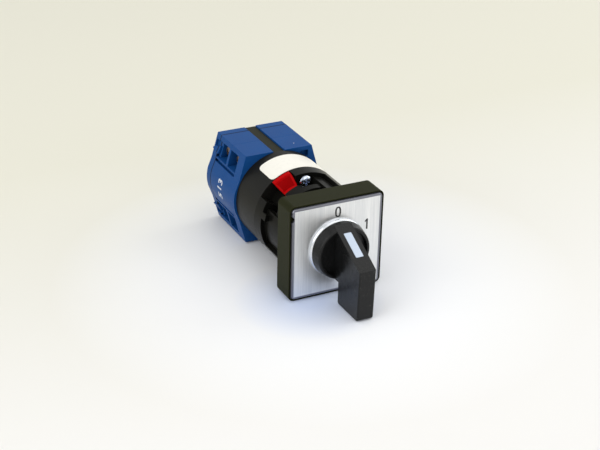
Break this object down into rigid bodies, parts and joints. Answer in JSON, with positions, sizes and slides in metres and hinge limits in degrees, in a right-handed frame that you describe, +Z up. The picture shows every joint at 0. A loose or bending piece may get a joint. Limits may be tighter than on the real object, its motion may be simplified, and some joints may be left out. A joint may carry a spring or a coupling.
{
  "type": "cam switch",
  "caption": "Two-position rotary cam switch for a round panel hole, with a lever knob, square brushed face plate, bayonet mounting ring and a stack of contact blocks.",
  "frame": {"origin": "on the shaft axis, in the plane where the bezel seats on the panel", "axes": "-Y out of the front along the shaft, +Z up with the knob at position 0, +X to the right of the front"},
  "size_m": [0.0302, 0.0787, 0.03],
  "materials": {
    "black_plastic": "fine satin moulded plastic",
    "grey_plastic": "dark grey moulded plastic, satin",
    "blue_plastic": "mid blue moulded plastic, satin",
    "red_plastic": "red moulded plastic, semi gloss",
    "brushed_plate": "fine vertical brushing",
    "chrome": "bright polished",
    "white_insert": "smooth white plastic",
    "label": "blank coated label",
    "zinc_steel": "zinc plated steel",
    "spring_steel": "bright spring steel",
    "copper_alloy": "copper alloy strip",
    "natural_plastic": "natural low-friction plastic",
    "seal_rubber": "soft black seal"
  },
  "bodies": {
    "housing": {"bezel": "grey_plastic", "face_plate": "brushed_plate", "trim_ring": "chrome", "panel_seal": "seal_rubber", "mounting_ring": "black_plastic", "ring_screws": "zinc_steel", "latch_housing": "black_plastic", "latch_plate": "black_plastic", "detent_spring_left": "spring_steel", "detent_spring_right": "spring_steel", "rating_label": "label", "stage_housing_front": "blue_plastic", "stage_housing_rear": "blue_plastic", "end_cover": "blue_plastic", "stack_strap_top": "black_plastic", "stack_strap_bottom": "black_plastic", "tie_screws": "zinc_steel", "terminal_screws_left": "zinc_steel", "terminal_clamps_left": "zinc_steel", "terminal_screws_right": "zinc_steel", "terminal_clamps_right": "zinc_steel", "contact_spring_front_left": "spring_steel", "fixed_contacts_front_left": "copper_alloy", "contact_spring_front_right": "spring_steel", "fixed_contacts_front_right": "copper_alloy", "contact_spring_rear_left": "spring_steel", "fixed_contacts_rear_left": "copper_alloy", "contact_spring_rear_right": "spring_steel", "fixed_contacts_rear_right": "copper_alloy"},
    "knob": {"knob": "black_plastic", "pointer_insert": "white_insert", "knob_clip": "spring_steel", "drive_sleeve": "natural_plastic", "sleeve_clip": "spring_steel", "shaft": "zinc_steel", "star_wheel": "natural_plastic", "cam_front": "natural_plastic", "cam_rear": "natural_plastic"},
    "lock": {"lock_ring": "black_plastic", "lock_lever": "red_plastic"},
    "plunger_front_left": {"plunger_front_left": "natural_plastic", "bridge_front_left": "copper_alloy"},
    "plunger_front_right": {"plunger_front_right": "natural_plastic", "bridge_front_right": "copper_alloy"},
    "plunger_rear_left": {"plunger_rear_left": "natural_plastic", "bridge_rear_left": "copper_alloy"},
    "plunger_rear_right": {"plunger_rear_right": "natural_plastic", "bridge_rear_right": "copper_alloy"}
  },
  "joints": [
    {"name": "knob_turn", "type": "hinge", "parent": "housing", "child": "knob", "pos_m": [0, 0, 0], "axis": [0, 1, 0], "range_deg": [0, 60], "deforming": ["detent_spring_left", "detent_spring_right"]},
    {"name": "lock_turn", "type": "hinge", "parent": "housing", "child": "lock", "pos_m": [0, 0.00725, 0], "axis": [0, 1, 0], "range_deg": [-20, 0]},
    {"name": "plunger_front_left_slide", "type": "slide", "parent": "housing", "child": "plunger_front_left", "axis": [1, 0, 0], "range_m": [0, 0.0012], "deforming": ["contact_spring_front_left"]},
    {"name": "plunger_front_right_slide", "type": "slide", "parent": "housing", "child": "plunger_front_right", "axis": [-1, 0, 0], "range_m": [0, 0.0012], "deforming": ["contact_spring_front_right"]},
    {"name": "plunger_rear_left_slide", "type": "slide", "parent": "housing", "child": "plunger_rear_left", "axis": [1, 0, 0], "range_m": [0, 0.0012], "deforming": ["contact_spring_rear_left"]},
    {"name": "plunger_rear_right_slide", "type": "slide", "parent": "housing", "child": "plunger_rear_right", "axis": [-1, 0, 0], "range_m": [0, 0.0012], "deforming": ["contact_spring_rear_right"]}
  ],
  "couplings": [
    {"joint": "plunger_front_left_slide", "follows": "knob_turn", "m_per_rad": 0.0011459},
    {"joint": "plunger_front_right_slide", "follows": "knob_turn", "m_per_rad": 0.0011459},
    {"joint": "plunger_rear_left_slide", "follows": "knob_turn", "m_per_rad": 0.0011459},
    {"joint": "plunger_rear_right_slide", "follows": "knob_turn", "m_per_rad": 0.0011459}
  ]
}
